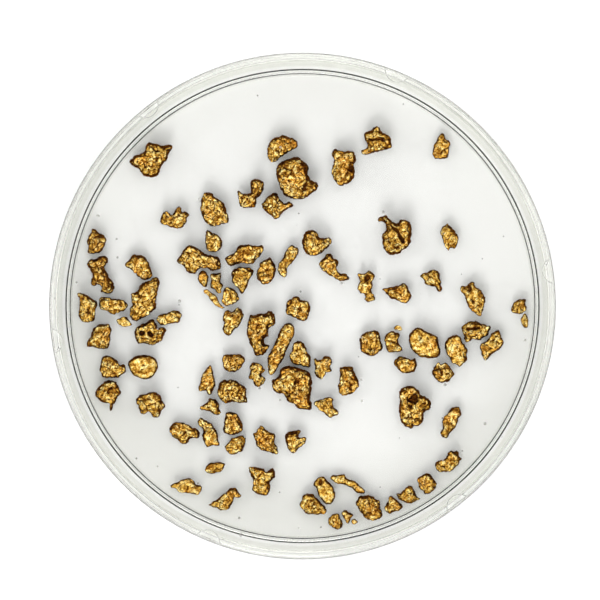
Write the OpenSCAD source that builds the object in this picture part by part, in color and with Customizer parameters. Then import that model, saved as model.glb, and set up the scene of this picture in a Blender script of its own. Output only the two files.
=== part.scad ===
// Shallow clear dish with a loose lid, holding ninety natural gold nuggets.
// Origin: centre of the dish's underside, +Z up, millimetres.

/* [Base] */
// Outer diameter of the base
base_d = 89; // [60:0.5:140]
// Height of the base from the table to its rim
base_h = 14.4; // [11:0.1:25]
// Thickness of the base's upright wall
wall_t = 1; // [0.6:0.1:1.6]
// Thickness of the base's floor
floor_t = 1.2; // [0.8:0.1:2]

/* [Lid] */
// Gap between the base's wall and the lid's skirt
skirt_gap = 1.9; // [0.5:0.1:3]
// Thickness of the lid's skirt
skirt_t = 1.1; // [0.8:0.1:1.6]
// Thickness of the lid's top plate
plate_t = 1.2; // [0.8:0.1:2]
// Height of the skirt's lower edge above the table
skirt_lift = 2.6; // [1:0.1:6]
// Number of stacking lugs on the lid
lug_count = 6; // [3:1:8]
// Radius of each half-round stacking lug
lug_r = 2.5; // [1.5:0.1:3]
// Height of the stacking lugs above the plate
lug_h = 0.8; // [0.4:0.1:1.5]

/* [Nuggets] */
// Height of a nugget as a share of its narrow width
height_share = 0.5; // [0.3:0.05:0.7]
// Height above which no nugget reaches over the floor
tallest = 3.4; // [2:0.1:5]

/* [Hidden] */
$fn = 128;
base_r = base_d / 2;
floor_r = base_r - wall_t;
skirt_in_r = base_r + skirt_gap;
lid_r = skirt_in_r + skirt_t;
lid_top = base_h + plate_t;
// The small roundings and fillets of the two mouldings
rim_round = 0.2;
floor_fillet = 0.2;
foot_round = 0.3;
lid_round = 0.7;
plate_fillet = 0.4;
// The lugs stand this far inside the lid's edge, and their centres this far outside it
lug_inset = 0.3;
lug_outset = 0.4;
lug_turn = 8;

// The nuggets' layout is drawn for this floor radius and scales with the dish
layout_r = 44;
layout_scale = floor_r / layout_r;
// A nugget has four rings: its height in shares of the whole, and how far its outline
// shrinks there, in shares of its narrow half-width
ring_heights = [0, 0.32, 0.76, 1];
ring_insets = [0.25, 0, 0.22, 0.58];

// Outlines of the nuggets seen from above, clockwise from the left, about the dish's centre.
// One entry is one node, and an entry with more outlines holds nuggets that lie together.
nuggets = [
  // 01 broad three-lobed nugget, far left at the back
  [[[-33, 27.3], [-32.3, 28.5], [-31, 29.1], [-30.2, 29.5], [-29.9, 30.7], [-29.2, 31.2], [-27.9, 31],
    [-26.8, 30.5], [-25.1, 30.8], [-24.6, 30.1], [-25.4, 29.1], [-25.9, 27.8], [-26.9, 26.3],
    [-27.3, 25.2], [-28.4, 24.5], [-30.2, 24.9], [-31.1, 25.8], [-32, 26.6]]],
  // 02 crescent with an eared lump in front of it
  [[[-6.9, 29], [-6.5, 31], [-5.6, 32], [-4.5, 32.3], [-3.6, 32.7], [-2.7, 32.3], [-1.6, 32],
    [-0.8, 31], [-0.9, 30.1], [-1.7, 29.8], [-2.5, 29.5], [-3.4, 28.8], [-4.3, 28.2], [-4.9, 27.6],
    [-5.7, 27.3], [-6.5, 28]],
   [[-5, 25.5], [-4.9, 26.7], [-4, 27.6], [-2.6, 28.2], [-1, 28.6], [0, 27.9], [1.1, 26.6], [0.9, 25.7],
    [1.3, 24.7], [1.9, 24], [2.8, 23.5], [2.9, 22.6], [2.2, 21.8], [1.2, 21], [0.2, 20.3], [-1, 20.2],
    [-2.3, 20.5], [-3.5, 21.1], [-4.3, 22.2], [-4.9, 24]]],
  // 03 upright slab with a hollow face
  [[[5.4, 29], [5.7, 29.9], [6.3, 30.1], [7.1, 29.8], [8.2, 29.5], [9.8, 29.4], [10.3, 28], [10, 26.9],
    [9.9, 24.9], [9.4, 23.9], [8.3, 23.2], [7.5, 22.9], [6.8, 23], [6.2, 23.8], [5.7, 24.9], [5.5, 26],
    [5.9, 27.4]]],
  // 04 tall nugget split by a deep crease
  [[[11.1, 29.6], [11.9, 30], [12.3, 30.6], [11.7, 31.8], [11.6, 32.8], [12.1, 33.3], [12.9, 33.5],
    [13.4, 34.2], [14.2, 34.5], [14.8, 34.1], [15.2, 33.3], [16, 32.8], [16.8, 32.3], [17, 31.2],
    [16.9, 30.2], [15.6, 29.7], [13.8, 29.3], [12.4, 28.9], [11.4, 29]]],
  // 05 narrow upright pebble
  [[[24.7, 29], [24.9, 30.2], [25.3, 31.3], [25.8, 32.2], [26.2, 32.9], [26.7, 33.1], [27.2, 32.6],
    [27.5, 31.9], [28, 31.5], [28.2, 29.9], [27.8, 28.4], [27.1, 28], [26.1, 27.8], [25.2, 27.9]]],
  // 06 two pitted lumps against the left wall
  [[[-41.1, 10.2], [-41, 11.5], [-41.2, 12.4], [-40.9, 13.3], [-40.5, 14], [-40.3, 14.8], [-39.7, 14.8],
    [-38.8, 14.2], [-37.8, 13.6], [-37.3, 12.6], [-37.6, 11.6], [-38, 10.7], [-38.8, 10.1],
    [-39.6, 9.8], [-40.5, 9.9]],
   [[-41, 7.8], [-40.8, 8.6], [-40.2, 8.9], [-39.4, 9.1], [-38.8, 9.6], [-37.9, 9.7], [-37.2, 9.3],
    [-37.1, 8.4], [-37.7, 7.2], [-37.2, 6.3], [-36.6, 5.5], [-36.1, 4.6], [-35.8, 3.5], [-36.2, 2.5],
    [-37, 2.2], [-38.6, 2.7], [-38.5, 3.8], [-39.2, 4], [-39.8, 3.8], [-40.4, 4.4], [-40.1, 5.6],
    [-40.3, 6.4]]],
  // 07 leaning oval
  [[[-33.9, 8.1], [-33.2, 8.8], [-32.8, 9.5], [-32.2, 9.9], [-31.3, 9.8], [-30.4, 9.6], [-29.7, 8.9],
    [-29.2, 7.8], [-28.8, 6.8], [-28.4, 6], [-28.9, 5.3], [-29.9, 4.9], [-30.8, 5.1], [-31.5, 5.7],
    [-32.1, 6.4], [-32.7, 7], [-33.4, 7.4]]],
  // 08 flat nugget with a notch in its back edge
  [[[-27.2, 15.9], [-26.9, 17.2], [-26.6, 17.9], [-25.8, 18.1], [-25.1, 17.5], [-24.8, 17.4],
    [-24.4, 18.2], [-23.7, 19.1], [-23.1, 18.8], [-23, 18], [-22.4, 18.1], [-21.5, 17.2], [-21.9, 16.6],
    [-22.1, 15.9], [-22.6, 15.3], [-23.4, 14.7], [-25.1, 14.9], [-26.4, 15.5]]],
  // 09 wedge with a brown pebble in front
  [[[-19.5, 18.3], [-19.3, 19.2], [-19.4, 20.1], [-19.2, 21], [-18.9, 21.8], [-17.2, 21.6],
    [-16.7, 20.9], [-15.1, 19.8], [-14.7, 18.8], [-14.3, 17.8], [-14, 16.8], [-14.1, 16.1],
    [-14.8, 15.6], [-15.9, 15.4], [-16.9, 15], [-17.8, 15.2], [-18.5, 15.7], [-18.9, 16.6]],
   [[-18.6, 12], [-18.5, 13.5], [-18.6, 14.4], [-17.9, 14.6], [-17.1, 14.2], [-16.3, 13.8],
    [-15.6, 13.2], [-15.3, 12.2], [-15.4, 11.1], [-15.9, 10.4], [-16.7, 10.1], [-17.7, 10.3],
    [-18.4, 10.7]]],
  // 10 long bar with a sagging middle
  [[[-23.9, 8.2], [-23.8, 9.1], [-23.2, 9.9], [-22.6, 10.9], [-21.7, 11.6], [-20.6, 11.5], [-19.8, 11],
    [-18.9, 10.3], [-17.9, 9.8], [-16.3, 9.5], [-15.8, 8.8], [-15.4, 7.8], [-15.6, 7], [-16.3, 6.7],
    [-17.4, 6.6], [-18, 7.2], [-19.2, 7.3], [-19.9, 6.8], [-20.3, 6], [-21, 6], [-21.8, 6.3],
    [-22.3, 7], [-23, 7.9]]],
  // 11 hooked nugget and its dark neighbour
  [[[-12.6, 21.7], [-12.2, 22.1], [-11.8, 21.7], [-11.4, 21.3], [-10.7, 21.5], [-10.1, 21.6],
    [-9.9, 22.3], [-10, 23.2], [-9.7, 23.9], [-9, 24.3], [-8.1, 24.1], [-7.4, 23.5], [-7.3, 22.6],
    [-7.5, 21.8], [-7.9, 21.1], [-8.6, 20.4], [-8.8, 19.4], [-9.3, 18.6], [-11.4, 18.8], [-12.1, 19.4],
    [-12.3, 20.4]],
   [[-7.9, 19.2], [-7.6, 20], [-7, 20.7], [-6.3, 21.2], [-5.7, 21.8], [-4.9, 21.6], [-4.5, 21],
    [-4.1, 20.2], [-3.4, 19.7], [-2.6, 20], [-2, 19.8], [-1.6, 19.2], [-2, 18.6], [-2.8, 18.3],
    [-3.6, 18], [-4.1, 17.2], [-4.7, 16.6], [-5.5, 16.7], [-6.2, 17.3], [-7.1, 18]]],
  // 12 two small folded nuggets beside the centre
  [[[-0.2, 12.2], [0.1, 13.2], [0.6, 14.1], [1.4, 14.6], [2.2, 14.5], [2.9, 13.9], [3.3, 13.1],
    [4.9, 13.1], [5.6, 12.8], [5.7, 12.2], [5.3, 11.4], [4.4, 10.7], [3.4, 9.8], [2.6, 9.6], [1.6, 9.4],
    [0.9, 9.7], [0.3, 10.4], [0, 11.3]],
   [[3.1, 8], [3.3, 8.8], [4.1, 9.3], [4.5, 9.9], [5.1, 10.1], [5.7, 9.7], [6, 9.1], [6.8, 8.8],
    [6.9, 8], [6.6, 7.1], [7.1, 6.4], [8.1, 6.2], [8.8, 5.6], [9.1, 5.2], [8.6, 4.8], [7.7, 4.6],
    [6.7, 4.8], [6, 5.3], [5.2, 5.8], [3.8, 6.6], [3.3, 7.3]]],
  // 13 slanting pair, one behind the other
  [[[-4.6, 8.1], [-3.9, 9.1], [-3.5, 10.1], [-2.9, 10.9], [-2, 11.6], [-1.2, 11.3], [-0.5, 10.7],
    [-0.9, 9.8], [-1.4, 8.8], [-2.2, 8], [-2.7, 7.3], [-2.9, 6.3], [-3.3, 5.5], [-4.1, 5.6],
    [-4.7, 6.2], [-4.8, 7.1]],
   [[-9, 6.2], [-8.8, 6.9], [-8.3, 7.3], [-8.2, 8.2], [-7.6, 8.7], [-7, 9], [-6.3, 9.4], [-5.8, 8.9],
    [-5.3, 8], [-5, 7], [-5.1, 6], [-5.5, 5], [-6.1, 4.4], [-7, 4.1], [-7.9, 4.4], [-8.7, 4.9],
    [-8.9, 5.5]]],
  // 14 largest nugget at the right, cracked across
  [[[14.3, 16.6], [14.9, 17], [15.9, 17.3], [16.5, 16.8], [17.2, 16.1], [18, 15.8], [18.8, 16.6],
    [20.1, 16.3], [20.6, 15.5], [20.9, 14.5], [20.9, 13.6], [20.6, 12.9], [20.7, 12], [20.2, 11.2],
    [19.5, 10.8], [18.8, 10.3], [18.2, 9.9], [17.2, 9.7], [16.2, 9.9], [15.6, 10.6], [15.3, 11.5],
    [15.1, 13.4], [15.5, 14.1], [16, 14.6], [15.9, 15.4], [15.3, 16], [14.5, 16.1]]],
  // 15 diamond-shaped pebble
  [[[26.2, 14.1], [26.7, 15], [27.2, 15.4], [27.6, 16], [28.1, 15.4], [28.6, 14.8], [29.2, 14.3],
    [29.6, 13.5], [29.7, 12.5], [29.4, 11.5], [29.1, 10.9], [28.4, 10.9], [27.9, 10.4], [27.4, 10.9],
    [27, 11.8], [26.6, 12.8]]],
  // 16 long nugget over a heart-shaped one
  [[[-14.9, 9.1], [-14.3, 9.6], [-13.6, 10], [-12.9, 10.2], [-12.6, 11], [-12, 11.6], [-11, 11.8],
    [-10.2, 11.9], [-9.3, 11.6], [-7.8, 11.6], [-7.4, 10.9], [-7.5, 10.2], [-8, 9.6], [-8.7, 8.9],
    [-9.2, 8.2], [-9.9, 7.9], [-11.6, 8], [-12.6, 7.8], [-13.5, 7.4], [-14.2, 7.7]],
   [[-13.6, 5.4], [-13.5, 6.5], [-13, 7.1], [-12.2, 7.4], [-11.2, 7.5], [-10.1, 7.4], [-9.4, 7.1],
    [-9.2, 6.5], [-9.7, 5.6], [-10.2, 4.6], [-10.6, 3.5], [-11.2, 2.6], [-11.6, 2.2], [-12.1, 2.9],
    [-12.8, 3.8], [-13.4, 4.6]]],
  // 17 tall ridge with a small flake at its foot
  [[[-28.2, 5.6], [-27.5, 5.3], [-27.1, 4.6], [-27.3, 3.6], [-27.6, 2.6], [-27.8, 1.4], [-27.9, -0.4],
    [-28.7, -1.1], [-29.6, -1.8], [-30.6, -2.5], [-31.5, -3.1], [-32.2, -2.8], [-32.8, -2.2],
    [-33, -1.2], [-32.9, -0.2], [-32.4, 0.2], [-32.6, 0.9], [-32.7, 2.2], [-32, 2.6], [-31.5, 3.2],
    [-31.1, 3.9], [-30.4, 4.5], [-29.5, 4.7]],
   [[-35.7, -2.8], [-35.2, -2.3], [-34.4, -2], [-33.6, -1.8], [-33.2, -2.4], [-32.6, -3.2],
    [-32.4, -3.7], [-33.3, -3.9], [-34.2, -3.9], [-35.1, -3.5]]],
  // 18 two lumps side by side near the left wall
  [[[-38.9, 1.3], [-38.4, 1.9], [-37.6, 1.9], [-36.8, 1.8], [-36.1, 1.5], [-35.1, 1.4], [-34, 1.1],
    [-33.4, 0.5], [-33.3, 0], [-33.6, -0.8], [-34.5, -1.2], [-36.3, -1.6], [-37, -1.3], [-37.8, -0.8],
    [-38.6, -0.6], [-38.9, 0.2]],
   [[-42.9, 2.3], [-42.4, 2.6], [-41.5, 2.4], [-40.7, 2], [-39.9, 1.4], [-39.2, 0.8], [-39.1, 0.1],
    [-39.4, -0.8], [-39.3, -1.8], [-39.6, -2.6], [-40.4, -3.1], [-41.4, -3.2], [-42.2, -2.9],
    [-42.7, -2.2], [-42.9, -1.3], [-42.6, -0.3], [-42.5, 0.6]]],
  // 19 block close to the left wall
  [[[-41.2, -7.4], [-41, -6.6], [-40.6, -5.9], [-40.2, -4.9], [-39.6, -4], [-38.9, -3.5], [-37.8, -3.3],
    [-36.9, -3.3], [-36.5, -3.9], [-36.2, -4.6], [-36.5, -5.5], [-36.7, -6.5], [-36.9, -7.5],
    [-37.4, -8.2], [-39, -8.3], [-39.9, -7.9], [-41, -7.9]]],
  // 20 pierced nugget and a smooth flake
  [[[-32.2, -5], [-32, -4.3], [-31.4, -3.9], [-30.8, -3.4], [-29.2, -2.7], [-28.5, -2.6], [-28, -3.2],
    [-27.4, -3.9], [-26.3, -4], [-26, -4.6], [-26.1, -5.2], [-26.4, -6], [-27, -6.8], [-27.9, -7.4],
    [-28.9, -7.6], [-29.9, -7.2], [-31.3, -7.3], [-31.8, -6.6], [-32, -5.7]],
   [[-27.9, -2.4], [-27.4, -1.6], [-26.5, -1.3], [-25.6, -1.2], [-24.9, -0.8], [-23.9, -0.8],
    [-23.1, -1.2], [-22.9, -1.8], [-23.2, -2.4], [-23.6, -3.1], [-24.6, -3.4], [-25.4, -3.6],
    [-26.2, -3.7], [-27.1, -3.6], [-27.7, -3.1]]],
  // 21 cluster of four small grains
  [[[-20.1, 4.9], [-19.9, 5.8], [-19.7, 6.5], [-19.1, 6.9], [-18.4, 6.6], [-18, 6], [-17.9, 5.2],
    [-18, 4.4], [-18.3, 3.6], [-18.9, 3.6], [-19.4, 4.1]],
   [[-17.7, 4.2], [-17.6, 5.2], [-17.5, 6.1], [-16.5, 6.3], [-15.5, 6.4], [-15.5, 5.3], [-15.6, 4.6],
    [-15.1, 4], [-15.4, 3.2], [-15.5, 2.4], [-16.2, 2.3], [-16.8, 2.9], [-17.6, 3.3]],
   [[-18.9, 3], [-18.2, 3.2], [-17.5, 2.8], [-16.8, 2.1], [-16.1, 1.6], [-15.8, 0.6], [-15.2, 0],
    [-14.6, -0.3], [-15.3, -0.5], [-16.2, -0.2], [-17, 0.3], [-17.5, 1.1], [-18.2, 1.9], [-18.8, 2.4]],
   [[-15.5, 1.1], [-15.2, 2.2], [-15.1, 3.2], [-14.7, 3.7], [-13.9, 3.7], [-13.1, 3.3], [-12.4, 2.6],
    [-12, 1.7], [-12.1, 1], [-12.8, 0.4], [-13.6, 0.1], [-14.6, 0], [-15.2, 0.4]]],
  // 22 tapering nugget
  [[[-15.3, -2.3], [-14.9, -1.3], [-14.3, -0.7], [-13.6, -0.9], [-13, -0.6], [-12.3, -0.2],
    [-11.7, -0.6], [-11.2, -1.3], [-11.1, -2.2], [-11.4, -2.9], [-11.9, -3.6], [-12.5, -4.3],
    [-13.1, -4.9], [-13.5, -5.6], [-14.1, -5.8], [-14.8, -5.4], [-15.2, -4.6], [-15, -3.2]]],
  // 23 kidney just left of the centre
  [[[-3.3, -0.4], [-3.1, 0.7], [-2.5, 1.4], [-1.6, 1.9], [-0.8, 1.9], [-0.2, 1.2], [0.6, 1.1],
    [1.2, 0.7], [1.6, -0.2], [1.4, -1.2], [1.1, -2.2], [0.5, -3], [-0.2, -2.9], [-0.9, -2.5],
    [-1.9, -2.1], [-2.8, -1.8], [-3.2, -1.2]]],
  // 24 open hook and a pitted lump in front
  [[[-10.7, -3.6], [-10.4, -2.3], [-9.9, -1.6], [-9, -1.6], [-7.9, -1.2], [-7, -1.3], [-6.3, -0.9],
    [-5.6, -1.4], [-5.2, -2.2], [-5.1, -3], [-5.4, -3.8], [-6.1, -4.2], [-6.4, -5], [-6.5, -5.8],
    [-7.1, -6.3], [-7.2, -7], [-6.6, -7.2], [-6.2, -7.6], [-6.6, -8.4], [-7.1, -9], [-7.8, -9.4],
    [-8.6, -9.6], [-9.2, -9], [-9.6, -8], [-10.2, -7], [-10.5, -5.8]],
   [[-10.4, -13.8], [-10.1, -12.7], [-10.2, -11.8], [-9.9, -11], [-9.3, -10.7], [-8.5, -10.8],
    [-7.8, -11.3], [-7.2, -12], [-7.3, -12.7], [-7.8, -13.1], [-7.2, -13.6], [-6.9, -14.2],
    [-7.3, -14.9], [-7.9, -15.4], [-8.8, -15.6], [-9.4, -15.1], [-9.5, -14.3], [-10, -14]]],
  // 25 longest sliver and the lump beside it
  [[[-6.8, -10.8], [-6.6, -9.6], [-6.1, -8.4], [-5.5, -7.2], [-5, -6.2], [-4.7, -5.3], [-4.2, -4.3],
    [-3.5, -3.4], [-2.6, -3.1], [-1.9, -3.5], [-1.6, -4.4], [-1.6, -5.3], [-1.9, -6.4], [-2.5, -7.6],
    [-3, -8.8], [-3.4, -9.8], [-3.9, -10.8], [-4.6, -11.7], [-5.2, -12.6], [-5.8, -13.2], [-6.3, -13],
    [-6.7, -12]],
   [[-2.5, -10.4], [-2.5, -9.4], [-2.2, -8.4], [-1.8, -7.4], [-1.3, -6.6], [-0.6, -6.5], [0.1, -6.9],
    [0.7, -7.9], [1, -8.8], [1.5, -9.6], [1.7, -10.3], [1.7, -11.2], [1.2, -11.9], [0.2, -11.6],
    [-0.8, -11.3], [-1.8, -11]]],
  // 26 big boot shape and a flat grain
  [[[-5.9, -14], [-5, -13.6], [-4.4, -13], [-4.3, -12.2], [-3.7, -11.6], [-2.8, -11.3], [-1.9, -11.4],
    [-0.9, -11.7], [0.1, -12], [1, -12.4], [1.6, -13.1], [1.9, -14], [1.8, -15], [1.7, -16.1],
    [1.5, -18], [1.9, -18.6], [1.9, -19.3], [1.5, -19.9], [0.7, -19.9], [-0.3, -19.7], [-1.3, -19.2],
    [-1.9, -18.6], [-2.7, -18.2], [-3.2, -17.5], [-3.6, -16.9], [-4.4, -16.9], [-5.2, -16.4],
    [-5.7, -15.6]],
   [[2.1, -18.6], [2.7, -18.1], [3.6, -17.7], [4.4, -17.4], [5.8, -17.7], [5.9, -18.6], [6.3, -19.4],
    [6.9, -20], [7, -20.6], [6.4, -20.9], [5.8, -21.3], [5.2, -21.5], [4.7, -21.1], [4, -20.4],
    [3.3, -19.9], [2.7, -19.3]]],
  // 27 crooked upright nugget
  [[[10.4, 5.8], [10.5, 6.3], [11.2, 6.3], [11.9, 6.2], [12.2, 6.7], [12.7, 7], [13.2, 6.6],
    [13.8, 6.1], [13.9, 5.4], [13.4, 4.8], [13.5, 4.1], [13.2, 2.9], [13.7, 2.1], [13.9, 1.2],
    [13.2, 0.9], [12.2, 0.8], [11.7, 1.2], [11.9, 2], [11.2, 2.3], [10.6, 3], [10.5, 4], [10.9, 4.9]]],
  // 28 low ramp
  [[[15.1, 3.1], [15.5, 3.6], [16.5, 3.6], [17.5, 3.9], [18.4, 4.1], [19.3, 4.5], [20, 4], [20.3, 3.2],
    [20.7, 2.4], [20.8, 1.5], [20.4, 0.8], [19.7, 0.5], [18.9, 0.7], [16.9, 1.3], [16.2, 2], [15.6, 2.6]]],
  // 29 two-toned nugget
  [[[22.3, 5.6], [22.8, 6.3], [23.7, 6.4], [24.2, 6.9], [25, 7], [25.9, 6.7], [26.3, 6.1], [26.4, 5.2],
    [26.7, 4.5], [26.5, 4], [26.8, 3.4], [26.4, 2.6], [25.9, 2.6], [25.4, 3.2], [25, 3.6], [23.7, 3.8],
    [23.2, 4.2], [23, 4.9]]],
  // 30 rounded block
  [[[10.7, -6.3], [11, -5.6], [11.6, -5.1], [12.6, -4.8], [13.5, -4.5], [14.3, -4.6], [14.8, -5.3],
    [15, -6.1], [15.2, -7], [15.4, -7.6], [15.1, -8.4], [14.5, -8.9], [14, -9.4], [13.3, -9.7],
    [12.5, -9.4], [11.7, -9.1], [11, -8.6], [10.9, -7.7]]],
  // 31 block with a chip behind it
  [[[15.5, -6.1], [15.8, -5.4], [16.4, -5], [17.2, -4.8], [17.8, -5], [18.3, -5.1], [18.7, -5.5],
    [18.4, -6.1], [18.3, -6.8], [18.5, -7.5], [19.1, -8.1], [19.1, -8.7], [18.2, -8.9], [16.4, -8.8],
    [15.9, -8.1], [15.7, -7.2]],
   [[17.3, -4.3], [17.7, -3.7], [18.4, -3.5], [19, -3.9], [19.2, -4.5], [18.7, -4.9], [17.9, -4.7]]],
  // 32 smooth pebble and a dark flat one
  [[[20.2, -6], [20.4, -5.2], [21, -4.5], [21.8, -4.1], [22.6, -4.2], [23.5, -4.7], [24.4, -5.1],
    [25.3, -5.6], [25.9, -6.2], [26, -7.2], [26.3, -8.1], [26.3, -9.1], [25.9, -9.8], [25, -10],
    [22.8, -9.9], [21.8, -9.4], [21, -8.6], [20.4, -7.5]],
   [[17.4, -10.7], [17.7, -10], [18.3, -9.5], [19.2, -9.6], [20.1, -9.8], [20.8, -10], [21.5, -9.8],
    [21.8, -10.5], [21.9, -11.3], [21.6, -12.1], [21.3, -12.8], [19.6, -12.9], [18.7, -12.6],
    [18.1, -12.1], [17.6, -11.4]]],
  // 33 hollow-faced crescent
  [[[30.1, 3.6], [30.6, 3.9], [31.2, 3.7], [31.5, 4.4], [32.3, 4.8], [32.9, 4.5], [33.1, 3.6],
    [33.7, 3.4], [34.3, 2.8], [34.8, 1.9], [35, 1], [34.6, 0.1], [34.5, -0.7], [34.2, -1.6],
    [33.7, -2.1], [32.5, -1.2], [31.8, -0.5], [31.2, 0.3], [30.9, 1.2], [30.7, 2.1], [30.2, 2.6]]],
  // 34 two chips against the right wall
  [[[39.7, -0.8], [39.9, 0], [40.5, 0.8], [41.2, 1.2], [42, 1.4], [42.9, 1.3], [42.6, 0.6],
    [42.8, -0.1], [42.7, -0.8], [42.2, -1.2], [41.5, -1.6], [40.7, -1.5], [40, -1.4]],
   [[41.4, -2.7], [41.8, -2], [42.2, -1.5], [42.7, -1.5], [43, -2], [43.1, -2.7], [43, -3.5],
    [42.9, -4.2], [42.3, -4.3], [41.8, -3.7]]],
  // 35 smooth pebble over a diamond
  [[[27.1, -7.8], [27.2, -6.8], [27.7, -6], [28.5, -5.6], [29.4, -5.5], [30.1, -5.9], [30.5, -6.8],
    [31.1, -7.5], [31.5, -8.5], [31.3, -9.3], [31.5, -10.2], [31, -10.9], [30.4, -11.3], [29.9, -11.6],
    [29.3, -11.2], [28.5, -11], [28.1, -10.1], [27.5, -9.3]],
   [[24.6, -12.7], [24.9, -11.8], [25.5, -11.1], [26, -10.6], [26.5, -11.1], [27.2, -10.8],
    [27.9, -11.2], [28.4, -11.8], [28.8, -12.5], [29.1, -13.3], [28.5, -13.9], [27.9, -14.5],
    [27, -14.8], [26.2, -14.7], [25.5, -14.2], [25, -13.5]]],
  // 36 pair wedged together at the right
  [[[30.2, -4.3], [30.5, -3.7], [31.2, -3.1], [31.9, -2.8], [32.6, -3], [33.2, -2.7], [33.8, -3.2],
    [34.6, -3.3], [35.2, -3.7], [35.9, -3.7], [35.9, -4.4], [35.6, -5.1], [35.3, -5.8], [34.6, -6.2],
    [33.9, -6.6], [32.5, -6.4], [31.9, -6.7], [31.1, -6.9], [30.8, -6.1], [30.6, -5.3]],
   [[33.6, -7.6], [34.1, -7], [35, -6.6], [35.6, -6], [35.9, -5.2], [36.5, -4.7], [37.2, -4.4],
    [37.7, -4.9], [38, -5.8], [38.4, -6.7], [38.3, -7.5], [37.8, -8.2], [37, -8.6], [36.4, -9],
    [35.8, -9.6], [35.4, -10.1], [35, -10.5], [34.5, -10.1], [34, -9.4], [33.8, -8.5]]],
  // 37 stacked pair near the left wall
  [[[-38.8, -12.1], [-38.6, -11], [-38.4, -10], [-37.8, -9.3], [-36.8, -9.5], [-35.9, -9.9],
    [-35.2, -10.4], [-34.8, -11.1], [-34, -11.2], [-33.6, -11.9], [-33.8, -12.8], [-34.6, -13.2],
    [-35.1, -13.8], [-36.2, -13.8], [-38, -13.7], [-38.4, -13]],
   [[-39.6, -16.4], [-39.2, -15.5], [-38.5, -14.9], [-37.8, -14.3], [-37, -14.1], [-36.2, -14.2],
    [-35.5, -14.4], [-35.3, -15], [-34.8, -15.7], [-34.6, -16.5], [-35.1, -17.3], [-35.5, -18.2],
    [-36, -19], [-36.2, -19.8], [-36.7, -20.2], [-37, -18.9], [-37.8, -18.6], [-38.8, -18.1],
    [-39.4, -17.3]]],
  // 38 smoothest pebble
  [[[-33.3, -11], [-32.8, -10.2], [-31.9, -9.6], [-30.8, -9.3], [-29.6, -9.3], [-28.6, -9.6],
    [-27.9, -10.2], [-27.5, -11.2], [-27.7, -12.3], [-28.3, -13.3], [-29.2, -13.9], [-30.2, -14],
    [-31.2, -13.7], [-32.2, -13.2], [-32.9, -12.4]]],
  // 39 nugget with a bay in its front edge
  [[[-31.9, -18.1], [-31.5, -17.2], [-30.8, -16.7], [-29.9, -16.8], [-29.2, -16.3], [-28.2, -16.4],
    [-27.4, -16.7], [-26.9, -17.4], [-26.7, -18.3], [-26.2, -18.8], [-26.1, -19.4], [-26.8, -19.9],
    [-27.1, -20.7], [-27.9, -21.3], [-28.6, -21.2], [-28.9, -20.5], [-29.6, -20.3], [-30.3, -20.8],
    [-31, -20.4], [-31.3, -19.6]]],
  // 40 low lump and a hooked blade
  [[[-25.4, -23.7], [-25, -22.7], [-24.3, -22.2], [-22.7, -22.2], [-21.9, -22.5], [-21.2, -22.9],
    [-20.3, -23.2], [-19.7, -23.6], [-19.5, -24.3], [-19.7, -25.2], [-20.4, -25.4], [-21.3, -25.3],
    [-21.8, -26], [-22.6, -26.4], [-23.4, -26.1], [-23.9, -25.5], [-24.7, -25.1], [-25.2, -24.5]],
   [[-20, -22.1], [-19.6, -21.2], [-18.8, -21.5], [-17.9, -22], [-17, -22.8], [-16.4, -23.6],
    [-15.9, -24.6], [-16, -25.5], [-15.8, -26.5], [-16.7, -26.6], [-17.7, -26.8], [-18.5, -26.7],
    [-18.9, -25.9], [-19.3, -25.2], [-19.3, -24.4], [-19, -23.9], [-19.5, -23]]],
  // 41 upright blade over a flat chip
  [[[-20, -15.7], [-19.6, -14.6], [-19.3, -13.6], [-18.8, -12.6], [-18.3, -11.8], [-17.6, -11.3],
    [-17.1, -11.9], [-16.9, -13], [-16.7, -14.2], [-16.6, -15.3], [-17, -16.2], [-17.4, -17],
    [-18.1, -17], [-18.4, -16.3], [-19.6, -16.3]],
   [[-19.6, -19.3], [-18.8, -18.7], [-18.2, -18.1], [-17.7, -17.5], [-16.6, -17.6], [-16.2, -18.2],
    [-15.8, -18.9], [-15.8, -19.6], [-15.4, -20.1], [-15.7, -20.6], [-16.5, -20.9], [-17.2, -20.6],
    [-17.8, -20.1], [-18.6, -20], [-19.3, -19.9]]],
  // 42 loaf and a smaller loaf behind
  [[[-16.4, -16.4], [-16.2, -15.4], [-15.7, -14.6], [-15, -14], [-14.2, -14.3], [-13.7, -13.9],
    [-12.8, -14.2], [-12, -14.7], [-11.2, -15.1], [-10.6, -15.7], [-10.7, -16.7], [-10.5, -17.6],
    [-10.4, -18.3], [-11, -18.6], [-13.4, -18.5], [-14.6, -18.6], [-15.2, -18.1], [-15.8, -17.5]],
   [[-15.4, -10.4], [-15, -9.3], [-14.2, -9.2], [-13, -9.1], [-11.9, -9.1], [-11.1, -9.5],
    [-10.9, -10.1], [-11.2, -11], [-11.8, -11.9], [-12.6, -12.5], [-13.6, -12.7], [-14.4, -12.5],
    [-15.1, -11.9], [-15.3, -11.2]]],
  // 43 squared pair, one in front of the other
  [[[-15.2, -23.4], [-15.1, -22.3], [-14.8, -21.3], [-14.7, -20.5], [-14, -20.1], [-13.2, -20.2],
    [-12.5, -20.5], [-12.1, -21.2], [-11.6, -22.1], [-11.4, -23.1], [-11.4, -23.9], [-11.9, -24.3],
    [-12.8, -24.6], [-13.7, -24.7], [-14.6, -24.5], [-15.1, -24.2]],
   [[-14.9, -26.6], [-14.4, -26.1], [-13.9, -25.5], [-13.5, -25.1], [-12.7, -24.9], [-11.8, -24.6],
    [-11.2, -24.7], [-10.7, -25.3], [-10.8, -26.1], [-11.2, -26.9], [-11.4, -27.7], [-12.2, -28.1],
    [-13, -28.4], [-13.9, -28.4], [-14.4, -27.9], [-14.8, -27.3]]],
  // 44 knobbly star
  [[[2.1, -11], [2, -10.2], [2.5, -9.8], [3, -10.3], [3.7, -10], [4.3, -9.5], [4.9, -9.4], [5.4, -9.8],
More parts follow.
